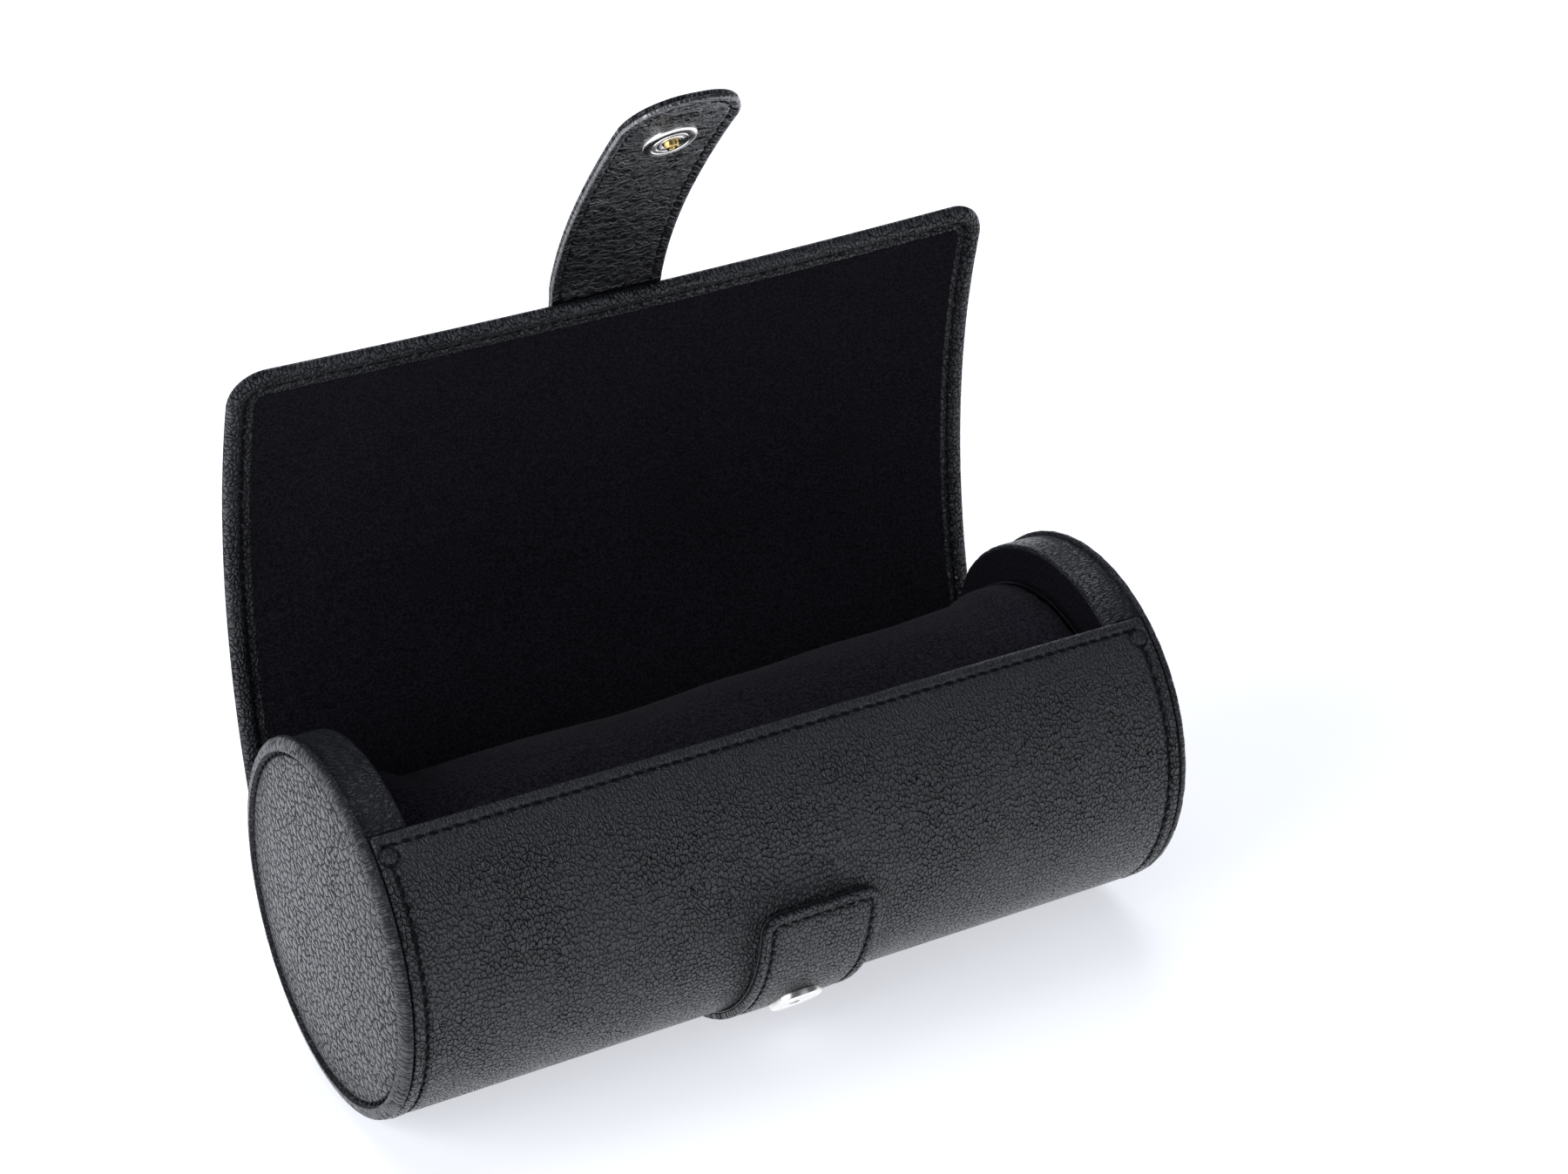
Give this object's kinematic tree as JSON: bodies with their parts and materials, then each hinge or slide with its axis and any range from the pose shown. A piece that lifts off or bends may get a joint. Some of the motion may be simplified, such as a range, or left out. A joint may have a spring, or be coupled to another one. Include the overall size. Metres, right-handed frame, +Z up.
{
  "type": "watch roll",
  "caption": "Cylindrical leather watch roll with a curling lid, a snap strap, round end caps and a lift-out cushion, shown open.",
  "frame": {"origin": "on the ground under the middle of the roll, at the middle of the belt's flat underside", "axes": "+X along the roll to its right end, +Y to the back where the lid is hinged, +Z up"},
  "size_m": [0.2238, 0.1131, 0.2444],
  "materials": {
    "leather_black": "pebbled full-grain leather, black, satin",
    "leather_inner": "smooth creased leather, black",
    "leather_edge": "leather-covered trim, black",
    "suede_lining": "microsuede, black",
    "suede_cushion": "microsuede, soft black",
    "foam": "foam",
    "board": "grey board",
    "cap_board": "fibreboard",
    "nickel": "polished nickel",
    "steel": "plain steel",
    "brass_stud": "turned brass",
    "ferrite": "sintered magnet"
  },
  "bodies": {
    "case": {"body_leather": "leather_black", "body_board": "board", "body_lining": "suede_lining", "corner_tacks": "leather_edge", "belt_leather": "leather_black", "belt_backing": "leather_inner", "snap_base": "steel", "snap_magnet": "ferrite", "snap_cover": "nickel", "snap_washer": "steel", "left_face_leather": "leather_black", "left_face_board": "board", "left_drum_core": "cap_board", "left_drum_rim_leather": "leather_black", "left_drum_lining": "suede_lining", "right_face_leather": "leather_black", "right_face_board": "board", "right_drum_core": "cap_board", "right_drum_rim_leather": "leather_black", "right_drum_lining": "suede_lining"},
    "cushion": {"cushion_cover": "suede_cushion", "cushion_core": "foam", "cushion_ends": "suede_cushion"},
    "lid_1": {"lid_leather_1": "leather_black", "lid_board_1": "board", "lid_lining_1": "suede_lining", "lid_belt_1": "leather_black"},
    "lid_2": {"lid_leather_2": "leather_black", "lid_board_2": "board", "lid_lining_2": "suede_lining", "lid_belt_2": "leather_black"},
    "lid_3": {"lid_leather_3": "leather_black", "lid_board_3": "board", "lid_lining_3": "suede_lining", "lid_belt_3": "leather_black"},
    "lid_4": {"lid_leather_4": "leather_black", "lid_board_4": "board", "lid_lining_4": "suede_lining", "lid_belt_4": "leather_black"},
    "lid_5": {"lid_leather_5": "leather_black", "lid_board_5": "board", "lid_lining_5": "suede_lining", "lid_belt_5": "leather_black"},
    "lid_6": {"lid_leather_6": "leather_black", "lid_board_6": "board", "lid_lining_6": "suede_lining", "lid_belt_6": "leather_black"},
    "strap_1": {"strap_outer_1": "leather_black", "strap_inner_1": "leather_inner"},
    "strap_2": {"strap_outer_2": "leather_black", "strap_inner_2": "leather_inner"},
    "strap_3": {"strap_outer_3": "leather_black", "strap_inner_3": "leather_inner", "stud_plate": "nickel", "stud_nub": "brass_stud"}
  },
  "joints": [
    {"name": "cushion_lift", "type": "slide", "parent": "case", "child": "cushion", "axis": [0, 0.5807, 0.8141], "range_m": [0, 0.008]},
    {"name": "lid_curl_1", "type": "hinge", "parent": "case", "child": "lid_1", "pos_m": [0, 0.04485, 0.03879], "axis": [1, 0, 0], "range_deg": [0, 13.82], "stiffness_Nm_per_rad": 0.1},
    {"name": "lid_curl_2", "type": "hinge", "parent": "lid_1", "child": "lid_2", "pos_m": [0, 0.05182, 0.06161], "axis": [1, 0, 0], "range_deg": [0, 25.06], "stiffness_Nm_per_rad": 0.1},
    {"name": "lid_curl_3", "type": "hinge", "parent": "lid_2", "child": "lid_3", "pos_m": [0, 0.05596, 0.08511], "axis": [1, 0, 0], "range_deg": [0, 21.84], "stiffness_Nm_per_rad": 0.1},
    {"name": "lid_curl_4", "type": "hinge", "parent": "lid_3", "child": "lid_4", "pos_m": [0, 0.05721, 0.10893], "axis": [1, 0, 0], "range_deg": [0, 20.42], "stiffness_Nm_per_rad": 0.1},
    {"name": "lid_curl_5", "type": "hinge", "parent": "lid_4", "child": "lid_5", "pos_m": [0, 0.05555, 0.13273], "axis": [1, 0, 0], "range_deg": [0, 17.98], "stiffness_Nm_per_rad": 0.1},
    {"name": "lid_curl_6", "type": "hinge", "parent": "lid_5", "child": "lid_6", "pos_m": [0, 0.05099, 0.15615], "axis": [1, 0, 0], "range_deg": [0, 22.12], "stiffness_Nm_per_rad": 0.1},
    {"name": "strap_curl_1", "type": "hinge", "parent": "lid_6", "child": "strap_1", "pos_m": [0, 0.04585, 0.17972], "axis": [1, 0, 0], "range_deg": [0, 20.83], "stiffness_Nm_per_rad": 0.02},
    {"name": "strap_curl_2", "type": "hinge", "parent": "strap_1", "child": "strap_2", "pos_m": [0, 0.0324, 0.20459], "axis": [1, 0, 0], "range_deg": [0, 14.77], "stiffness_Nm_per_rad": 0.02},
    {"name": "strap_curl_3", "type": "hinge", "parent": "strap_2", "child": "strap_3", "pos_m": [0, 0.01376, 0.22585], "axis": [1, 0, 0], "range_deg": [0, 16.03], "stiffness_Nm_per_rad": 0.02}
  ],
  "couplings": [
    {"joint": "lid_curl_2", "follows": "lid_curl_1", "ratio": 1.8134},
    {"joint": "lid_curl_3", "follows": "lid_curl_1", "ratio": 1.5804},
    {"joint": "lid_curl_4", "follows": "lid_curl_1", "ratio": 1.4775},
    {"joint": "lid_curl_5", "follows": "lid_curl_1", "ratio": 1.3012},
    {"joint": "lid_curl_6", "follows": "lid_curl_1", "ratio": 1.6005},
    {"joint": "strap_curl_2", "follows": "strap_curl_1", "ratio": 0.70902},
    {"joint": "strap_curl_3", "follows": "strap_curl_1", "ratio": 0.76956}
  ]
}
